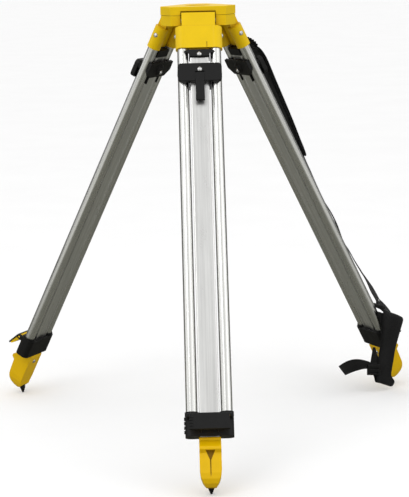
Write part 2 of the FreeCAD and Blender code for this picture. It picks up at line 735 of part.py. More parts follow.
def main():
    os.makedirs("parts", exist_ok=True)
    nodes = {
        "head_plate": head_plate(),
        "head_base": head_base(),
        "head_screws": head_screws(),
        "hinge_pins": hinge_pins(),
        "screw_arm": screw_arm(),
        "arm_pivot_bolt": arm_pivot(),
        "screw_bush": screw_bush(),
        "retaining_ring": retaining_ring(),
        "fixing_screw": fixing_screw(),
        "fixing_knob": fixing_knob(),
    }
    leg_nodes = {
        "hinge_bracket": hinge_bracket(),
        "bracket_screws": bracket_screws(),
        "outer_tubes": outer_tubes(),
        "clamp_yoke": clamp_yoke(),
        "clamp_shoe": clamp_shoe(),
        "clamp_cam": clamp_cam(),
        "clamp_lever": clamp_lever(),
        "inner_rail": inner_rail(),
        "top_plug": top_plug(),
        "guide_collar": guide_collar(),
        "latch_tongue": latch(),
        "collar_backplate": collar_backplate(),
        "leg_screws": leg_screws(),
        "foot_shoe": foot_shoe(),
        "foot_spike": foot_spike(),
    }
    for leg, azimuth in LEG_AZIMUTHS.items():
        for name, shape in leg_nodes.items():
            nodes[leg + "_" + name] = placed(shape, azimuth)
    right = LEG_AZIMUTHS["right"]
    nodes["shoulder_pad"] = placed(shoulder_pad(), right)
    nodes["strap_keeper"] = placed(strap_keeper(), right)
    nodes["strap_webbing"] = placed(strap_webbing(), right)
    nodes["tie_webbing"] = tie_webbing()
    nodes["strap_buckle"] = strap_buckle()
    for name in ("tie_webbing", "strap_buckle"):
        nodes[name].rotate(V(0, 0, 0), V(0, 0, 1), right)
    for name, shape in nodes.items():
        if not shape.isValid():
            print("invalid", name)
        shape.exportStep("parts/" + name + ".step")


main()
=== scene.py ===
import json
import math

import bpy
from mathutils import Matrix, Vector, noise


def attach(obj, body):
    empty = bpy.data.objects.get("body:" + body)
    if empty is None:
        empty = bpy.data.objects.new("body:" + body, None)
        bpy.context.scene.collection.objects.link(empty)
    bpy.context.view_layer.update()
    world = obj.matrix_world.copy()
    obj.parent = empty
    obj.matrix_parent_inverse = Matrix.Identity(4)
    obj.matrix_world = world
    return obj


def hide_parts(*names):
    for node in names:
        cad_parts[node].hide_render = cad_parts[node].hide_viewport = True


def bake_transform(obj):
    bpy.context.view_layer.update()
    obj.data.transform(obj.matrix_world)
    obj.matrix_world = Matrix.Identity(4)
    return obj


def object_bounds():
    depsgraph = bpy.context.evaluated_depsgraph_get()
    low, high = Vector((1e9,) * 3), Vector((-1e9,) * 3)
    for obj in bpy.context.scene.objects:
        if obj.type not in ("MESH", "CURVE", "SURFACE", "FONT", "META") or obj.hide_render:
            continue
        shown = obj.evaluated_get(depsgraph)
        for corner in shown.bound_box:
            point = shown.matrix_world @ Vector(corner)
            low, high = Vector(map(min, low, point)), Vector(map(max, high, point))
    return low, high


# A builder's tripod: die-cast yellow head, aluminium telescopic legs, black clamps and a
# carrying strap. Metres, in the CAD frame: head top at z = 0, front leg towards -Y.

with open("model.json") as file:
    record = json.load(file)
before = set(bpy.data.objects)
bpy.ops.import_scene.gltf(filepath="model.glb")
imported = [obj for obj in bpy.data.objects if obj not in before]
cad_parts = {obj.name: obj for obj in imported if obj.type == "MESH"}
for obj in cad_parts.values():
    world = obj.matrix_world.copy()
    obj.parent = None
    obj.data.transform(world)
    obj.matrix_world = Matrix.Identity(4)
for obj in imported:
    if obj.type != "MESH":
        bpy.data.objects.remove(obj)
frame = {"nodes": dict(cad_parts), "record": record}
CAD_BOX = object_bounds()

TILT = math.radians(28.0)    # the legs' lean
LEG_R = 0.0652               # the hinges' distance from the middle, and their height
LEG_Z = -0.030
AZIMUTHS = {"front": 0.0, "right": 120.0, "left": 240.0}
FLOOR_Z = CAD_BOX[0].z


# ------------------------------------------------------------------ leg frame

def leg_matrix(leg):
    # from a leg's own axes (t across, -o inward, -s up) to the CAD frame
    turn = Matrix.Rotation(math.radians(AZIMUTHS[leg]), 4, "Z")
    lean = Matrix.Rotation(-TILT, 4, "X")
    return turn @ Matrix.Translation((0, -LEG_R, LEG_Z)) @ lean


def leg_point(leg, t, o, s):
    return leg_matrix(leg) @ Vector((t, -o, -s))


def plane_point(leg, t, radius, height):
    # a point in the leg's upright radial plane, t to the side of it
    turn = Matrix.Rotation(math.radians(AZIMUTHS[leg]), 4, "Z")
    return turn @ Vector((t, -radius, height))


# ------------------------------------------------------------------ material helpers

def node(tree, kind, inputs=None, **props):
    made = tree.nodes.new("ShaderNode" + kind)
    for key, value in props.items():
        setattr(made, key, value)
    for key, value in (inputs or {}).items():
        put(tree, made.inputs[key], value)
    return made


def put(tree, socket, value):
    if isinstance(value, bpy.types.NodeSocket):
        tree.links.new(value, socket)
    elif isinstance(value, bpy.types.Node):
        tree.links.new(value.outputs[0], socket)
    else:
        socket.default_value = value


def rgb(r, g, b):
    # 0..255 display values to linear
    def linear(c):
        c /= 255.0
        return c / 12.92 if c <= 0.04045 else ((c + 0.055) / 1.055) ** 2.4
    return (linear(r), linear(g), linear(b), 1.0)


def shade(colour, share):
    return (colour[0] * share, colour[1] * share, colour[2] * share, 1.0)


def math_node(tree, operation, a, b=0.0, clamp=False):
    return node(tree, "Math", {0: a, 1: b}, operation=operation, use_clamp=clamp)


def ramp(tree, value, low, high, out_low=0.0, out_high=1.0):
    return node(tree, "MapRange", {"Value": value, "From Min": low, "From Max": high,
                                   "To Min": out_low, "To Max": out_high})


def mixed(tree, factor, a, b, blend="MIX"):
    return node(tree, "MixRGB", {"Fac": factor, "Color1": a, "Color2": b}, blend_type=blend)


def noise_of(tree, coords, scale, detail=3.0, rough=0.55):
    return node(tree, "TexNoise", {"Vector": coords, "Scale": scale, "Detail": detail,
                                   "Roughness": rough})


def object_coords(tree):
    return node(tree, "TexCoord").outputs["Object"]


def leg_coords(tree, leg):
    # the leg's own axes, so that streaks run along it
    inverse = leg_matrix(leg).inverted()
    turn = inverse.to_3x3().to_euler("XYZ")
    return node(tree, "Mapping", {"Vector": object_coords(tree), "Rotation": turn,
                                  "Location": inverse.to_translation()})


def stretched(tree, coords, scale):
    return node(tree, "Mapping", {"Vector": coords, "Scale": scale})


def edge_mask(tree, radius, low=0.02, high=0.25):
    # 1 on sharp edges, where the rounded normal leaves the face's own
    soft = node(tree, "Bevel", {"Radius": radius}, samples=4)
    true = node(tree, "NewGeometry")
    dot = node(tree, "VectorMath", {0: soft, 1: true.outputs["Normal"]}, operation="DOT_PRODUCT")
    return ramp(tree, math_node(tree, "SUBTRACT", 1.0, dot.outputs["Value"]), low, high)


def crevice_shade(tree, reach, low=0.35, high=0.85):
    # painted shade mask: 1 deep in corners and slots, 0 on open faces
    open_air = node(tree, "AmbientOcclusion", {"Distance": reach}, samples=6)
    return ramp(tree, open_air.outputs["AO"], low, high, 1.0, 0.0)


def bump(tree, height, strength, distance, under=None):
    made = node(tree, "Bump", {"Height": height, "Strength": strength, "Distance": distance})
    if under is not None:
        put(tree, made.inputs["Normal"], under)
    return made


def material(name):
    mat = bpy.data.materials.new(name)
    mat.use_nodes = True
    tree = mat.node_tree
    tree.nodes.clear()
    out = tree.nodes.new("ShaderNodeOutputMaterial")
    shader = tree.nodes.new("ShaderNodeBsdfPrincipled")
    tree.links.new(shader.outputs[0], out.inputs["Surface"])
    return mat, tree, shader


def finish_material(tree, shader, colour, roughness, normal, **more):
    put(tree, shader.inputs["Base Color"], colour)
    put(tree, shader.inputs["Roughness"], roughness)
    put(tree, shader.inputs["Normal"], normal)
    for key, value in more.items():
        put(tree, shader.inputs[key.replace("_", " ")], value)


# ------------------------------------------------------------------ materials

def painted(name, colour, edge_colour, peel=0.35, base_rough=0.36):
    # powder coat: orange peel, faint cloudiness, scuffs, rubbed edges and painted shade in corners and
    # slots
    mat, tree, shader = material(name)
    at = object_coords(tree)
    cloud = noise_of(tree, at, 26.0, 4.0)
    scuff = noise_of(tree, stretched(tree, at, (1.0, 1.0, 0.35)), 150.0, 8.0, 0.7)
    speck = noise_of(tree, at, 620.0, 2.0)
    base = mixed(tree, ramp(tree, cloud, 0.3, 0.7), shade(colour, 0.93), colour)
    marks = ramp(tree, scuff, 0.63, 0.74, 0.0, 0.35)
    base = mixed(tree, marks, base, shade(colour, 0.78))
    dirt = ramp(tree, speck, 0.70, 0.76, 0.0, 0.5)
    base = mixed(tree, dirt, base, shade(colour, 0.45))
    worn = math_node(tree, "MULTIPLY", edge_mask(tree, 0.0011), ramp(tree, scuff, 0.40, 0.62))
    base = mixed(tree, math_node(tree, "MULTIPLY", worn, 0.55), base, edge_colour)
    # painted shade: corners and slots darkened towards a deep brownish yellow
    base = mixed(tree, math_node(tree, "MULTIPLY", crevice_shade(tree, 0.014), 0.75), base,
                 (colour[0] * 0.30, colour[1] * 0.24, colour[2] * 0.2, 1.0))
    rough = math_node(tree, "ADD", ramp(tree, cloud, 0.3, 0.7, base_rough, base_rough + 0.1),
                      math_node(tree, "MULTIPLY", marks, 0.5))
    soft = node(tree, "Bevel", {"Radius": 0.0009}, samples=4)
    grain = noise_of(tree, at, 1100.0, 2.0)
    normal = bump(tree, grain, peel, 0.00025, soft)
    normal = bump(tree, scuff, 0.12, 0.0003, normal)
    finish_material(tree, shader, base, rough, normal, IOR=1.5, Specular_IOR_Level=0.22)
    return mat


def moulded(name, colour, rough=0.5, grain=0.5, wear=0.5):
    # injection moulded plastic: spark-eroded grain, handling shine and pale rubbed edges
    mat, tree, shader = material(name)
    at = object_coords(tree)
    cloud = noise_of(tree, at, 40.0, 5.0)
    fine = noise_of(tree, at, 2600.0, 2.0)
    scratch = noise_of(tree, stretched(tree, at, (1.0, 0.16, 1.0)), 330.0, 6.0, 0.75)
    lines = ramp(tree, scratch, 0.64, 0.70, 0.0, 0.5)
    base = mixed(tree, ramp(tree, cloud, 0.35, 0.7), shade(colour, 0.8), shade(colour, 1.25))
    pale = (colour[0] * 0.6 + 0.06, colour[1] * 0.6 + 0.06, colour[2] * 0.6 + 0.06, 1.0)
    base = mixed(tree, lines, base, pale)
    worn = math_node(tree, "MULTIPLY", edge_mask(tree, 0.0009), wear)
    base = mixed(tree, worn, base, pale)
    rough_at = math_node(tree, "ADD", ramp(tree, cloud, 0.3, 0.7, rough - 0.08, rough + 0.08),
                         math_node(tree, "MULTIPLY", lines, 0.25))
    soft = node(tree, "Bevel", {"Radius": 0.0008}, samples=4)
    normal = bump(tree, fine, grain, 0.00016, soft)
    normal = bump(tree, scratch, 0.08, 0.0002, normal)
    finish_material(tree, shader, base, rough_at, normal, IOR=1.48, Specular_IOR_Level=0.3)
    return mat


def aluminium(name, leg, tint, rough=0.20, lines=1.0):
    # drawn and anodised: lengthwise die lines, patchy sheen and grey rub marks
    mat, tree, shader = material(name)
    at = leg_coords(tree, leg)
    die = noise_of(tree, stretched(tree, at, (1.0, 1.0, 0.004)), 1500.0, 3.0)
    wide = noise_of(tree, stretched(tree, at, (1.0, 1.0, 0.012)), 210.0, 3.0)
    patch = noise_of(tree, stretched(tree, at, (1.0, 1.0, 0.22)), 42.0, 6.0, 0.6)
    rub = noise_of(tree, stretched(tree, at, (1.0, 1.0, 0.05)), 420.0, 7.0, 0.72)
    base = mixed(tree, ramp(tree, wide, 0.35, 0.65), shade(tint, 0.86), tint)
    base = mixed(tree, ramp(tree, die, 0.35, 0.70, 0.0, 0.22 * lines), base, shade(tint, 0.62))
    marks = ramp(tree, rub, 0.62, 0.74, 0.0, 0.25 * lines)
    base = mixed(tree, marks, base, shade(tint, 0.6))
    rough_at = math_node(tree, "ADD", ramp(tree, patch, 0.3, 0.7, rough - 0.04, rough + 0.06),
                         math_node(tree, "MULTIPLY", marks, 0.3))
    soft = node(tree, "Bevel", {"Radius": 0.0005}, samples=4)
    normal = bump(tree, die, 0.16 * lines, 0.00012, soft)
    normal = bump(tree, rub, 0.05, 0.0002, normal)
    finish_material(tree, shader, base, rough_at, normal, Metallic=1.0)
    return mat


def bare_metal(name, tint, rough=0.28, dull=0.5, grain=1.0):
    # plated or turned metal: fine directional grain, dull spots and bright edges
    mat, tree, shader = material(name)
    at = object_coords(tree)
    fine = noise_of(tree, stretched(tree, at, (1.0, 1.0, 0.08)), 1900.0, 3.0)
    spots = noise_of(tree, at, 260.0, 6.0, 0.7)
    base = mixed(tree, ramp(tree, fine, 0.3, 0.7), shade(tint, 0.82), tint)
    base = mixed(tree, ramp(tree, spots, 0.55, 0.72, 0.0, dull), base, shade(tint, 0.45))
    base = mixed(tree, math_node(tree, "MULTIPLY", edge_mask(tree, 0.0004), 0.6), base,
                 shade(tint, 1.15))
    rough_at = ramp(tree, spots, 0.35, 0.7, rough, rough + 0.22)
    soft = node(tree, "Bevel", {"Radius": 0.0004}, samples=4)
    normal = bump(tree, fine, 0.12 * grain, 0.0001, soft)
    finish_material(tree, shader, base, rough_at, normal, Metallic=1.0)
    return mat


def wave(tree, value, pitch, phase=0.0):
    turns = math_node(tree, "MULTIPLY", value, 2 * math.pi / pitch)
    return math_node(tree, "SINE", math_node(tree, "ADD", turns, phase))


def webbing(name, colour, pitch=0.0022):
    # narrow-woven nylon: diagonal rows from the strip's own measures, and fuzz
    mat, tree, shader = material(name)
    where = node(tree, "UVMap", uv_map="strip")
    split = node(tree, "SeparateXYZ", {"Vector": where})
    across, along = split.outputs["X"], split.outputs["Y"]
    rib = wave(tree, across, pitch)
    lean = math_node(tree, "MULTIPLY", node(tree, "Math", {0: across}, operation="ABSOLUTE"), 0.9)
    row = wave(tree, math_node(tree, "ADD", along, lean), pitch * 0.62)
    weave = math_node(tree, "ADD", math_node(tree, "MULTIPLY", rib, 0.5),
                      math_node(tree, "MULTIPLY", row, 0.5))
    at = object_coords(tree)
    fuzz = noise_of(tree, at, 1700.0, 3.0, 0.7)
    cloud = noise_of(tree, at, 55.0, 5.0)
    base = mixed(tree, ramp(tree, weave, -1.0, 1.0), shade(colour, 0.45), shade(colour, 1.35))
    base = mixed(tree, ramp(tree, cloud, 0.35, 0.75, 0.0, 0.45), base, shade(colour, 2.0))
    rough_at = ramp(tree, cloud, 0.3, 0.7, 0.72, 0.88)
    normal = bump(tree, weave, 0.7, 0.00035)
    normal = bump(tree, fuzz, 0.35, 0.0003, normal)
    finish_material(tree, shader, base, rough_at, normal, Specular_IOR_Level=0.15,
                    Sheen_Weight=0.1, Sheen_Roughness=0.5)
    return mat


def pack_cloth(name, colour):
    # plain-woven pack cloth over foam, with a coarse thread and dust in the weave
    mat, tree, shader = material(name)
    at = leg_coords(tree, "right")
    split = node(tree, "SeparateXYZ", {"Vector": at})
    warp = wave(tree, split.outputs["X"], 0.0011)
    weft = wave(tree, split.outputs["Z"], 0.0011)
    weave = math_node(tree, "MULTIPLY", warp, weft)
    cloud = noise_of(tree, at, 70.0, 5.0)
    fuzz = noise_of(tree, at, 2000.0, 3.0, 0.7)
    base = mixed(tree, ramp(tree, weave, -1.0, 1.0), shade(colour, 0.55), shade(colour, 1.3))
    base = mixed(tree, ramp(tree, cloud, 0.4, 0.75, 0.0, 0.5), base, shade(colour, 2.2))
    normal = bump(tree, weave, 0.9, 0.0004)
    normal = bump(tree, fuzz, 0.3, 0.0003, normal)
    finish_material(tree, shader, base, ramp(tree, cloud, 0.3, 0.7, 0.75, 0.9), normal,
                    Specular_IOR_Level=0.15, Sheen_Weight=0.12, Sheen_Roughness=0.5)
    return mat


YELLOW = rgb(246, 205, 0)
BLACK = rgb(14, 14, 14)
SILVER = (0.86, 0.86, 0.84, 1.0)

MATERIALS = {
    "yellow_casting": painted("yellow_casting", YELLOW, rgb(252, 226, 96)),
    "yellow_shoe": painted("yellow_shoe", rgb(244, 196, 2), rgb(252, 226, 96), 0.2, 0.32),
    "yellow_plastic": moulded("yellow_plastic", rgb(246, 200, 4), 0.34, 0.12, 0.25),
    "zinc_steel": bare_metal("zinc_steel", (0.60, 0.61, 0.62, 1.0), 0.30),
    "brass_bush": bare_metal("brass_bush", (0.76, 0.56, 0.26, 1.0), 0.26, 0.4),
    "brass_screw": bare_metal("brass_screw", (0.80, 0.60, 0.30, 1.0), 0.22, 0.4),
    "bright_screws": bare_metal("bright_screws", (0.90, 0.90, 0.91, 1.0), 0.12, 0.15, 0.5),
    "black_steel": bare_metal("black_steel", (0.05, 0.05, 0.052, 1.0), 0.42, 0.5),
    "black_webbing": webbing("black_webbing", rgb(15, 15, 15)),
    "pad_fabric": pack_cloth("pad_fabric", rgb(17, 17, 17)),
    "black_knob": moulded("black_knob", rgb(22, 22, 22), 0.42, 0.35),
    "black_rubber": moulded("black_rubber", rgb(20, 20, 20), 0.75, 0.7, 0.2),
    "black_plastic": moulded("black_plastic", BLACK, 0.50, 0.5),
}
MATERIALS["thread"] = webbing("thread", rgb(44, 44, 44), 0.0008)
for leg in AZIMUTHS:
    MATERIALS["aluminium_tube_" + leg] = aluminium("aluminium_tube_" + leg, leg, SILVER, 0.26)
    MATERIALS["aluminium_rail_" + leg] = aluminium("aluminium_rail_" + leg, leg,
                                                   (0.88, 0.88, 0.87, 1.0), 0.30, 0.6)


def dress(obj, slot):
    leg = obj.name.split("_")[0]
    key = slot + "_" + leg if slot.startswith("aluminium") else slot
    obj.data.materials.clear()
    obj.data.materials.append(MATERIALS[key])


for part in frame["record"]["subparts"]:
    dress(frame["nodes"][part["node"]], part["material_slot"])


# ------------------------------------------------------------------ mesh helpers

def piece(name, verts, faces, slot, body, strip=None, look=None, smooth=True):
    # strip holds (across, along) metres for each vertex, for woven finishes
    mesh = bpy.data.meshes.new(name)
    mesh.from_pydata(verts, [], faces)
    mesh.validate()
    if strip is not None:
        layer = mesh.uv_layers.new(name="strip")
        for loop in mesh.loops:
            layer.data[loop.index].uv = strip[loop.vertex_index]
    for face in mesh.polygons:
        face.use_smooth = smooth
    obj = bpy.data.objects.new(name, mesh)
    bpy.context.scene.collection.objects.link(obj)
    obj.data.materials.append(MATERIALS[look or slot])
    if body:
        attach(obj, body)
    return obj


def spline(points, steps):
    # Catmull-Rom through the points, as vectors
    pts = [Vector(p) for p in points]
    pts = [2 * pts[0] - pts[1]] + pts + [2 * pts[-1] - pts[-2]]
    line = []
    for i in range(1, len(pts) - 2):
        for k in range(steps):
            u = k / steps
            a, b, c, d = pts[i - 1:i + 3]
            line.append(0.5 * (2 * b + (c - a) * u + (2 * a - 5 * b + 4 * c - d) * u * u
                               + (3 * b - a - 3 * c + d) * u ** 3))
    line.append(pts[-2])
    return line


def strip_section(half_w, half_t, count=10):
    # a flat section with round selvages, as (across, up) pairs
    ring, flat = [], half_w - half_t
    for side in (1, -1):
        for k in range(5):
            a = math.radians(90 * side - 45 * k)
            ring.append((side * flat + half_t * math.cos(a), half_t * math.sin(a)))
        for k in range(1, count):
            ring.append((side * (flat - 2 * flat * k / count), -side * half_t))
    return ring


def strip_rows(centres, across_of, half_of):
    # (centre, across, normal, half width) down a strip, the last three found for each row
    rows, last = [], len(centres) - 1
    for k, centre in enumerate(centres):
        ahead = centres[min(k + 1, last)] - centres[max(k - 1, 0)]
        across = across_of(k)
        rows.append((centre, across, ahead.cross(across).normalized(), half_of(k)))
    return rows


def rows_along(centres, across_of, half_w):
    # a strip of one width with a known cross direction
    return strip_rows(centres, across_of, lambda k: half_w)


def rows_between(pairs, steps):
    # a strip given by matching points on its two edges
    lefts = spline([a for a, b in pairs], steps)
    rights = spline([b for a, b in pairs], steps)
    wide = [b - a for a, b in zip(lefts, rights)]
    centres = [(a + b) / 2 for a, b in zip(lefts, rights)]
    return strip_rows(centres, lambda k: wide[k].normalized(), lambda k: wide[k].length / 2)


def skin_faces(rows, ring, closed=False):
    faces = []
    for k in range(rows if closed else rows - 1):
        for i in range(ring):
            a, b = k * ring, (k + 1) % rows * ring
            j = (i + 1) % ring
            faces.append((a + i, a + j, b + j, b + i))
    if not closed:
        faces.append(tuple(range(ring))[::-1])
        faces.append(tuple((rows - 1) * ring + i for i in range(ring)))
    return faces


def woven(name, rows, half_t, slot, body, wobble=0.0, seed=0.0):
    # a woven strip with round selvages that sways a little off its rows
    verts, strip = [], []
    along = 0.0
    for k, (centre, across, up, half_w) in enumerate(rows):
        if k:
            along += (centre - rows[k - 1][0]).length
        ring = strip_section(half_w, half_t)
        for x, y in ring:
            sway = wobble * noise.noise(Vector((x * 30 + seed, along * 22, seed * 3)))
            verts.append(centre + across * x + up * (y + sway))
            strip.append((x, along))
    return piece(name, verts, skin_faces(len(rows), len(ring)), slot, body, strip=strip)


def tube(name, stations, slot, body, closed=False, count=12, look=None):
    # stations are (centre, a, b): an elliptical section with those two half axes
    verts = []
    for centre, a, b in stations:
        for i in range(count):
            turn = 2 * math.pi * i / count
            verts.append(centre + a * math.cos(turn) + b * math.sin(turn))
    return piece(name, verts, skin_faces(len(stations), count, closed), slot, body, look=look)


def spots(name, places, shape, slot, body, look=None):
    # many small copies of a shape in one piece: places are (point, x axis, z axis)
    verts, faces = [], []
    shape_verts, shape_faces = shape
    for place, x_axis, z_axis in places:
        y_axis = z_axis.cross(x_axis)
        start = len(verts)
        verts += [place + x_axis * v[0] + y_axis * v[1] + z_axis * v[2] for v in shape_verts]
        faces += [tuple(start + i for i in face) for face in shape_faces]
    return piece(name, verts, faces, slot, body, look=look)


def turned(profile, count=20):
    # a solid of revolution about Z through (radius, height) points, closed on the axis
    verts = [(0, 0, profile[0][1])]
    for r, z in profile:
        for i in range(count):
            a = 2 * math.pi * i / count
            verts.append((r * math.cos(a), r * math.sin(a), z))
    verts.append((0, 0, profile[-1][1]))
    faces = [(0, 1 + (i + 1) % count, 1 + i) for i in range(count)]
    for k in range(len(profile) - 1):
        a = 1 + k * count
        for i in range(count):
            j = (i + 1) % count
            faces.append((a + i, a + j, a + count + j, a + count + i))
    a = 1 + (len(profile) - 1) * count
    faces += [(len(verts) - 1, a + i, a + (i + 1) % count) for i in range(count)]
    return verts, faces


def stitch_shape():
    # one thread stitch lying along X
    ring, verts = 6, []
    for x, r in ((-1.25, 0.06), (-0.9, 0.26), (0.0, 0.34), (0.9, 0.26), (1.25, 0.06)):
        for i in range(ring):
            a = 2 * math.pi * i / ring
            verts.append((x / 1000, r * math.cos(a) / 1000, (r * math.sin(a) + 0.1) / 1000))
    return verts, skin_faces(5, ring)


# ------------------------------------------------------------------ stage, camera and light

def make_camera():
    # in front and a little above the head, looking slightly down at the whole tripod
    place, lens = (-0.0257, -3.8677, 0.1709), 119.04
    yaw, pitch, roll = (math.radians(a) for a in (-0.410, -10.959, -1.410))
    ahead = Vector((-math.sin(yaw) * math.cos(pitch), math.cos(yaw) * math.cos(pitch),
                    math.sin(pitch)))
    right = Vector((math.cos(yaw), math.sin(yaw), 0))
    up = right.cross(ahead)
    cam_x = math.cos(roll) * right + math.sin(roll) * up
    cam_y = -math.sin(roll) * right + math.cos(roll) * up
    turn = Matrix((cam_x, cam_y, -ahead)).transposed().to_4x4()
    data = bpy.data.cameras.new("camera")
    data.lens = lens
    data.sensor_width = 36.0
    data.clip_end = 300.0
    camera = bpy.data.objects.new("camera", data)
    bpy.context.scene.collection.objects.link(camera)
    camera.matrix_world = Matrix.Translation(place) @ turn
    bpy.context.scene.camera = camera


def make_floor():
    verts, faces, sides = [], [], 64
    rings = [0.6, 1.5, 4.0, 12.0, 40.0, 120.0]
    for r in rings:
        for k in range(sides):
            a = 2 * math.pi * k / sides
            verts.append((r * math.cos(a), r * math.sin(a), FLOOR_Z))
    verts.append((0, 0, FLOOR_Z))
    centre = len(verts) - 1
    for k in range(sides):
        faces.append((centre, k, (k + 1) % sides))
    for ring in range(len(rings) - 1):
        for k in range(sides):
            a, b = ring * sides + k, ring * sides + (k + 1) % sides
            faces.append((a, a + sides, b + sides, b))
    mesh = bpy.data.meshes.new("floor")
    mesh.from_pydata(verts, [], faces)
    floor = bpy.data.objects.new("floor", mesh)
    bpy.context.scene.collection.objects.link(floor)
    mat, tree, shader = material("floor")
    at = object_coords(tree)
    soft = noise_of(tree, at, 3.0, 3.0)
    pale = mixed(tree, ramp(tree, soft, 0.3, 0.7), (0.96, 0.96, 0.96, 1.0), (0.98, 0.98, 0.98, 1.0))
    # painted reflection: polished metal sees a dim floor with paler patches to the front on both sides,
    # painted there to give its highlights
    path = node(tree, "LightPath")
    place = node(tree, "SeparateXYZ", {"Vector": at})
    aside = ramp(tree, node(tree, "Math", {0: place.outputs["X"]}, operation="ABSOLUTE"), 0.55, 1.15)
    ahead = ramp(tree, place.outputs["Y"], 0.2, -0.5)
    painted_reflection = mixed(tree, math_node(tree, "MULTIPLY", aside, ahead), (0.16, 0.16, 0.135, 1.0),
                (0.62, 0.62, 0.59, 1.0))
    base = mixed(tree, path.outputs["Is Glossy Ray"], pale, painted_reflection)
    # painted shade: diffuse rays see a darker floor, so less light bounces up under the tripod
    base = mixed(tree, path.outputs["Is Diffuse Ray"], base, (0.34, 0.34, 0.33, 1.0))
    finish_material(tree, shader, base, 0.9, bump(tree, soft, 0.02, 0.001), Specular_IOR_Level=0.1)
    mesh.materials.append(mat)


def area_light(name, place, target, width, height, power):
    data = bpy.data.lights.new(name, "AREA")
    data.shape = "RECTANGLE"
    data.size, data.size_y = width, height
    data.energy = power
    lamp = bpy.data.objects.new(name, data)
    bpy.context.scene.collection.objects.link(lamp)
    lamp.location = place
    lamp.rotation_mode = "QUATERNION"
    lamp.rotation_quaternion = (Vector(target) - Vector(place)).to_track_quat("-Z", "Y")


def make_world():
    # even light for what is matt; what is polished sees softboxes above, in front and beside
    world = bpy.data.worlds.new("studio")
    bpy.context.scene.world = world
    world.use_nodes = True
    tree = world.node_tree
    tree.nodes.clear()
    out = tree.nodes.new("ShaderNodeOutputWorld")
    way = node(tree, "TexCoord").outputs["Generated"]
    split = node(tree, "SeparateXYZ", {"Vector": way})
    side = node(tree, "Math", {0: split.outputs["X"]}, operation="ABSOLUTE")
    front = math_node(tree, "MULTIPLY", split.outputs["Y"], -1.0)
    turn = node(tree, "Math", {0: side, 1: front}, operation="ARCTAN2")
    boxes = node(tree, "ValToRGB", {"Fac": math_node(tree, "DIVIDE", turn, math.pi)})
    bands = [(0.0, 0.66), (0.06, 0.74), (0.12, 0.98), (0.23, 1.10), (0.29, 0.62), (0.34, 0.85),
             (0.38, 0.90), (0.45, 1.15), (0.54, 1.15), (0.58, 0.30), (0.66, 0.05), (1.0, 0.12)]
    for k, (place, value) in enumerate(bands):
        stop = boxes.color_ramp.elements[0] if k == 0 else boxes.color_ramp.elements.new(place)
        stop.position, stop.color = place, (value, value, value, 1.0)
    boxes.color_ramp.elements.remove(boxes.color_ramp.elements[-1])
    level = ramp(tree, split.outputs["Z"], -0.06, 0.16, 0.12, 1.0)
    glow = math_node(tree, "MULTIPLY", boxes, level)
    path = node(tree, "LightPath")
    even = node(tree, "Background", {"Color": (1.0, 1.0, 1.0, 1.0), "Strength": 1.0})
    seen = node(tree, "Background", {"Color": (1.0, 1.0, 0.99, 1.0), "Strength": glow})
    both = node(tree, "MixShader", {0: path.outputs["Is Glossy Ray"], 1: even, 2: seen})
    tree.links.new(both.outputs[0], out.inputs["Surface"])


make_camera()
make_floor()
make_world()
area_light("key", (-2.0, -2.4, 2.6), (0, 0, -0.35), 2.0, 2.0, 22)
area_light("fill", (2.4, -1.8, 1.4), (0, 0, -0.45), 1.2, 2.4, 8)
bpy.context.scene.view_settings.view_transform = "Standard"


# ------------------------------------------------------------------ strap

WEB_HALF_T = 0.0011          # half the webbing's thickness
STRAP_T = 0.036              # the strap's place across the right leg
STRAP_HALF_W = 0.019
TWIST, FOOT_TWIST = 25.6, 14.0
PAD_LOW, PAD_HIGH = 0.1235, 0.4265
# millimetres out from the leg's middle plane and down along the leg
STRAP_PATH = [(30, 84), (46, 104), (59, 140), (56, 222), (51, 322), (46, 390), (45, 440), (47, 500),
              (50, 567), (54, 601), (54, 640), (49, 689), (53, 723), (56, 766), (61, 810), (64, 850),
              (67, 891), (67.6, 901)]


def leg_way(leg, t, o, s):
    return leg_matrix(leg).to_3x3() @ Vector((t, -o, -s))


def strap_rows(path, steps, half_w, lift=0.0):
    # the strap's rows on the right leg: level at the pad, twisted a little lower down
    flat = spline([(o / 1000, s / 1000, 0) for o, s in path], steps)
    line = [leg_point("right", STRAP_T, p.x, p.y) for p in flat]

    def across(k):
        first = min(max((flat[k].y - 0.430) / 0.130, 0.0), 1.0)
        second = min(max((flat[k].y - 0.806) / 0.050, 0.0), 1.0)
        angle = math.radians(TWIST * first + FOOT_TWIST * second)
        return leg_way("right", math.cos(angle), math.sin(angle), 0)
    rows = rows_along(line, across, half_w)
    return [(c + n * lift, a, n, w) for c, a, n, w in rows], [p.y for p in flat]


def make_run():
    rows = strap_rows(STRAP_PATH, 14, STRAP_HALF_W)[0]
    run = woven("strap_run", rows, WEB_HALF_T, "black_webbing", "right_leg", 0.0009, 1.7)
    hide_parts("strap_webbing")
    make_link(rows[-1])


def make_link(last):
    # the run's sewn end, curving round to the tie end it is stitched to
    bend = [(0.0325, 0.0684, 0.907), (0.026, 0.0672, 0.912), (0.017, 0.0645, 0.9165),
            (0.006, 0.0600, 0.9185), (-0.006, 0.0585, 0.9185)]
    path = [last[0]] + [leg_point("right", *place) for place in bend]
    centres = spline(path, 6)
    first = last[1]
    end = (leg_point("right", 0, 0.0618, 0.9207) - leg_point("right", 0, 0.0198, 0.8634)).normalized()
    count = len(centres) - 1

    def across(k):
        share = (k / count) ** 0.8
        return (first * (1 - share) + end * share).normalized()
    link = woven("strap_link", rows_along(centres, across, 0.0185), WEB_HALF_T, "black_webbing",
                 None, 0.0005, 6.1)
    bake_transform(link)


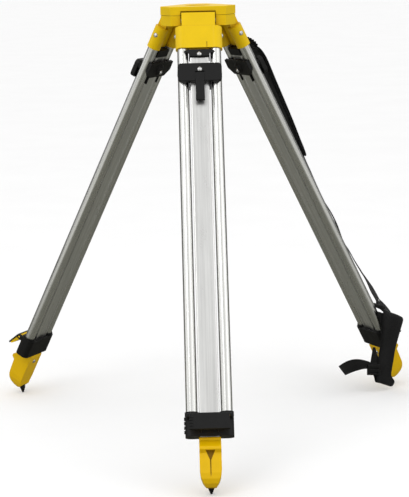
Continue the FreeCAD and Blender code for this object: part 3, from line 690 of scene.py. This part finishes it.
def make_folded_end():
    # the webbing's upper end, bunched in pleats and turned back under itself, its two paths
    # in millimetres out from the leg's middle plane and down along the leg
    outer = [(17.6, 62), (18.0, 52), (24, 53), (33, 68), (41, 81), (49, 90), (55, 101), (57, 112),
             (53, 119), (46, 115), (38, 100), (28, 86), (20, 74)]
    line = spline([(o / 1000, s / 1000, 0) for o, s in outer], 16)
    centres, along = [], 0.0
    for k, p in enumerate(line):
        ahead = (line[min(k + 1, len(line) - 1)] - line[max(k - 1, 0)]).normalized()
        along += (p - line[k - 1]).length if k else 0.0
        pleat = 0.0013 * math.sin(along * 2 * math.pi / 0.0075) * min(1.0, along / 0.03)
        o, s = p.x + ahead.y * pleat, p.y - ahead.x * pleat
        centres.append(leg_point("right", 0.028, o, s))
    across = leg_way("right", 1, 0, 0)
    woven("strap_folded_end", rows_along(centres, lambda k: across, 0.0205), 0.0012,
          "black_webbing", "right_leg", 0.0012, 4.1)
    core = [(20, 62), (28, 68), (37, 83), (46, 96), (51, 106), (50, 112), (45, 106), (36, 92), (27, 79)]
    centres = [leg_point("right", 0.029, p.x, p.y)
               for p in spline([(o / 1000, s / 1000, 0) for o, s in core], 12)]
    woven("strap_folded_core", rows_along(centres, lambda k: across, 0.0185), 0.0014,
          "black_webbing", "right_leg", 0.0010, 7.7)


def pad_half_height(x, side):
    # thickness across the pad: crowned outside, nearly flat inside, with two sewn channels
    body = max(0.0, 1 - abs(x) ** 3.2) ** 0.55
    channel = 0.30 * math.exp(-((abs(x) - 0.60) / 0.07) ** 2)
    return (0.0050 if side > 0 else 0.0032) * (0.34 + 0.66 * body) * (1 - channel)


def pad_taper(s):
    # share of the full width, which narrows over the last 30 mm
    return min(1.0, 0.72 + 0.28 * (min(s - PAD_LOW, PAD_HIGH - s) / 0.030) ** 0.5)


def make_pad():
    inside = [(o, s) for o, s in STRAP_PATH if 100 < s < 460]
    rows, stations = strap_rows(inside, 26, 0.0235, 0.0052)
    kept = [(row, s) for row, s in zip(rows, stations) if PAD_LOW <= s <= PAD_HIGH]
    count = 22
    ring = [(-1 + 2 * i / count, 1) for i in range(count + 1)]
    ring += [(1 - 2 * i / count, -1) for i in range(1, count)]
    verts = []
    for (centre, across, up, half_w), s in kept:
        thin = min(1.0, 0.36 + 0.64 * (min(s - PAD_LOW, PAD_HIGH - s) / 0.026) ** 0.7)
        tuck = 1 - 0.06 * math.exp(-((s * 1000 % 51 - 25.5) / 4.0) ** 2)
        for x, side in ring:
            swell = noise.noise(Vector((x * 1.7, s * 38, 2.0 + side))) * 0.0006
            height = pad_half_height(x, side) * thin * tuck
            place = centre + across * (x * half_w * pad_taper(s))
            verts.append(place + up * (side * height + swell))
    pad = piece("pad_body", verts, skin_faces(len(kept), len(ring)), "pad_fabric", "right_leg")
    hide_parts("shoulder_pad")
    make_pad_edge(kept)


def make_pad_edge(kept):
    # a folded binding round the pad, with a row of stitches inside it on both faces
    stitch_pitch, edge_inset = 0.0036, 0.0046
    sides = {-1: [], 1: []}
    for (centre, across, up, half_w), s in kept:
        for side in sides:
            place = centre + across * (side * half_w * pad_taper(s))
            sides[side].append((place, across * side, up))
    loop = sides[1] + sides[-1][::-1]
    stations, seams = [], []
    for k, (place, outward, up) in enumerate(loop):
        ahead = (loop[(k + 1) % len(loop)][0] - loop[k - 1][0]).normalized()
        level = ahead.cross(up).normalized()
        stations.append((place + level * 0.0002, level * 0.0030, up * 0.0023))
        inward = level if outward.dot(level) < 0 else -level
        seams.append((place, ahead, inward, up))
    tube("pad_binding", stations, "pad_fabric", "right_leg", True, 12, "black_webbing")
    places, gone = [], 0.0
    for before, (place, ahead, inward, up) in zip(seams, seams[1:]):
        gone += (place - before[0]).length
        if gone < stitch_pitch:
            continue
        gone = 0.0
        for face in (1, -1):
            at = place + inward * edge_inset + up * face * (0.0030 if face > 0 else 0.0022)
            places.append((at, ahead, up * face))
    spots("pad_stitches", places, stitch_shape(), "pad_fabric", "right_leg", "thread")


def tie_strip(name, edges, half_t, wobble, seed):
    # edges are (t, left radius, left height, right radius, right height) in millimetres
    pairs = [(plane_point("right", t / 1000, a / 1000, b / 1000),
              plane_point("right", t / 1000, c / 1000, d / 1000)) for t, a, b, c, d in edges]
    return woven(name, rows_between(pairs, 8), half_t, "black_webbing", "strap_tie", wobble, seed)


def make_tie():
    band = [(14, 488, -782, 551, -813), (-6, 488, -782.5, 552, -813.5), (-28, 488, -783, 552, -814),
            (-48, 488, -783.5, 552, -814.5), (-58, 488, -784.5, 552, -816),
            (-62.5, 486, -792, 550, -823), (-63, 483, -812, 543, -840), (-62, 485, -838, 536, -859),
            (-61.5, 480, -881, 526, -893), (-62.5, 471, -906, 519, -918), (-62.5, 466, -929, 513, -944),
            (-62, 466, -948, 512, -962), (-64, 464, -961, 520, -977), (-63, 463, -968, 517, -987),
            (-60, 463, -970, 512, -990), (-57, 463, -965, 506, -985), (-56.5, 461, -957, 496, -972),
            (-58, 452, -947, 483, -958), (-60, 442, -936, 474, -944)]
    web = tie_strip("tie_band", band, WEB_HALF_T, 0.0022, 2.3)
    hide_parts("tie_webbing")
    under = [(-58, 470, -787, 540, -814), (-59, 474, -800, 536, -824), (-59.5, 480, -818, 531, -842),
             (-59.5, 482, -858, 521, -876), (-60, 473, -905, 514, -918), (-60.5, 468, -940, 508, -955),
             (-60, 466, -958, 507, -972)]
    tie_strip("tie_under", under, 0.0009, 0.0010, 5.9)
    second = [(-60, 455.5, -878, 463, -880), (-59.5, 453, -892, 468, -895),
              (-59.5, 450, -906, 473, -909), (-60, 447, -921, 475, -926)]
    tie_strip("tie_second", second, WEB_HALF_T, 0.0008, 8.3)
    tail = [(-61.5, 472, -918, 471, -941), (-62.5, 455, -919, 453, -936), (-63.5, 436, -911, 438, -932),
            (-64, 417, -904, 424, -930), (-63, 400, -900.5, 408, -931), (-61.5, 383, -900.5, 394, -933),
            (-61.5, 364, -904.5, 380, -935.5), (-64, 346, -910, 367, -937)]
    loose = tie_strip("tie_tail", tail, WEB_HALF_T, 0.0010, 3.3)
    make_tie_sleeve()


def make_tie_sleeve():
    # the loop of webbing round the keeper's bar
    outward, down = leg_way("right", 0, 1, 0), leg_way("right", 0, 0, 1)
    places, stations = (-0.0622, -0.0615, -0.045, -0.025, -0.005, 0.0153, 0.016), []
    for t in places:
        r = 0.0034 if t in (places[0], places[-1]) else 0.0044
        stations.append((leg_point("right", t, 0.0205, 0.859), outward * r, down * r))
    tube("tie_sleeve", stations, "black_webbing", "strap_tie", count=20)


def make_rivets():
    # domed rivets: one through strap and pad, one in the keeper's foot
    dome = [(0.0, -0.4), (3.4, -0.4), (3.6, 0.2), (3.2, 1.0), (2.2, 1.6), (1.0, 1.9), (0.0, 2.0)]
    verts, faces = turned(dome)
    head = ([tuple(c / 1000 for c in v) for v in verts], faces)
    turn = math.radians(TWIST)
    x_axis = leg_way("right", 1, 0, 0)
    inward = leg_way("right", 0, -1, 0)
    slant = leg_way("right", -math.sin(turn), math.cos(turn), 0)
    side = leg_way("right", math.cos(turn), math.sin(turn), 0)
    places = [(leg_point("right", STRAP_T, 0.0572, 0.1465), x_axis, inward),
              (leg_point("right", STRAP_T, 0.0686, 0.894), side, slant)]
    spots("strap_rivets", places, head, "bright_screws", "right_leg")


# ------------------------------------------------------------------ clamp lever details

def make_lever_hoods():
    # the black shell's curved root, over the lever's coloured trunnion, half open at rest
    pin_o, pin_s, half_w, steps = 0.024, 0.927, 0.0428, 12
    inner, outer = 0.0055, 0.0071
    start, arc, opened = -96, 132, math.radians(30)
    for leg in AZIMUTHS:
        verts = []
        for k in range(steps + 1):
            angle = math.radians(start + arc * k / steps) + opened
            for t, r in ((-half_w, inner), (-half_w, outer), (half_w, outer), (half_w, inner)):
                o, s = pin_o + r * math.cos(angle), pin_s + r * math.sin(angle)
                verts.append(leg_point(leg, t, o, s))
        piece(leg + "_lever_hood", verts, skin_faces(steps + 1, 4), "black_plastic",
              leg + "_lever", smooth=False)


# ------------------------------------------------------------------ fixing screw's thread

def make_thread():
    # a 5/8 inch screw, 11 turns to the inch, on its plain shank
    pitch, crest, root, around = 0.0254 / 11, 0.00794, 0.00676, 48
    thread_low, thread_high, shank = -0.0414, -0.0232, 0.0064
    heights, z = [], thread_low
    while z < thread_high:
        heights.append(z)
        z += pitch / 10

    def radius(z, i):
        phase = abs(((z / pitch - i / around) % 1.0) * 2 - 1)
        ends = min(1.0, max(0.0, (z + 0.0420) / 0.002), max(0.0, (-0.0228 - z) / 0.0022))
        return min(crest, root + (crest - root) * min(1.0, phase * 1.25) * ends)
    rings = [([shank] * around, -0.109), ([shank] * around, -0.0425)]
    rings += [([radius(z, i) for i in range(around)], z) for z in heights]
    rings += [([0.0062] * around, -0.0231), ([0.0056] * around, -0.0230)]
    verts = []
    for radii, z in rings:
        for i, r in enumerate(radii):
            turn = 2 * math.pi * i / around
            verts.append((r * math.cos(turn), r * math.sin(turn), z))
    screw = piece("screw_thread", [Vector(v) for v in verts], skin_faces(len(rings), around),
                  "brass_screw", "screw")
    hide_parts("fixing_screw")


make_run()
make_folded_end()
make_pad()
make_tie()
make_rivets()
make_lever_hoods()
make_thread()
